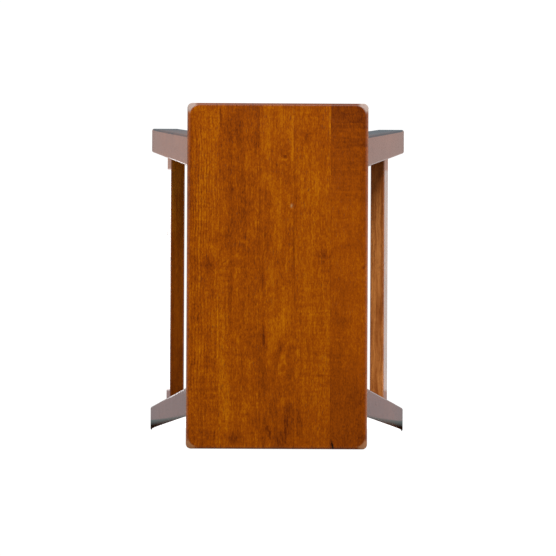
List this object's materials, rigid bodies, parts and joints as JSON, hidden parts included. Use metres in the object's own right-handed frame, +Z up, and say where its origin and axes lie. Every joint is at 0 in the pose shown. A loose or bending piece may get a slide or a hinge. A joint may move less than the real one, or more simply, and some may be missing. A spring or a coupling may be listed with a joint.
{
  "type": "splay-legged wooden stand",
  "caption": "Free-standing wooden stand with a flat rectangular edge-glued top on splayed, tapered legs, tied by tenoned aprons and dowelled stretchers.",
  "frame": {"origin": "on the floor, below the middle of the top", "axes": "+Z up, +Y along the top's length towards the back, +X across the top to the right"},
  "size_m": [0.392, 0.469, 0.61],
  "materials": {
    "top_wood": "glossy orange-brown stain on hardwood, straight grain",
    "leg_wood": "glossy dark brown stain on hardwood",
    "rail_wood": "glossy brown stain on hardwood",
    "bare_wood": "planed, unfinished hardwood",
    "zinc_steel": "zinc plated, satin",
    "glide_plastic": "matt dark brown moulded plastic"
  },
  "bodies": {
    "root": {"top_stave_1": "top_wood", "top_stave_2": "top_wood", "top_stave_3": "top_wood", "top_stave_4": "top_wood", "top_stave_5": "top_wood", "leg_back_left": "leg_wood", "leg_back_right": "leg_wood", "leg_front_left": "leg_wood", "leg_front_right": "leg_wood", "side_apron_left": "rail_wood", "side_apron_right": "rail_wood", "end_apron_front": "rail_wood", "end_apron_back": "rail_wood", "side_stretcher_left": "rail_wood", "side_stretcher_right": "rail_wood", "end_stretcher_front": "rail_wood", "end_stretcher_back": "rail_wood", "corner_block_back_left": "bare_wood", "corner_block_back_right": "bare_wood", "corner_block_front_left": "bare_wood", "corner_block_front_right": "bare_wood", "stretcher_dowels": "bare_wood", "apron_screws": "zinc_steel", "top_screws": "zinc_steel", "glide_back_left": "glide_plastic", "glide_back_right": "glide_plastic", "glide_front_left": "glide_plastic", "glide_front_right": "glide_plastic", "glide_nails": "zinc_steel"}
  },
  "joints": []
}
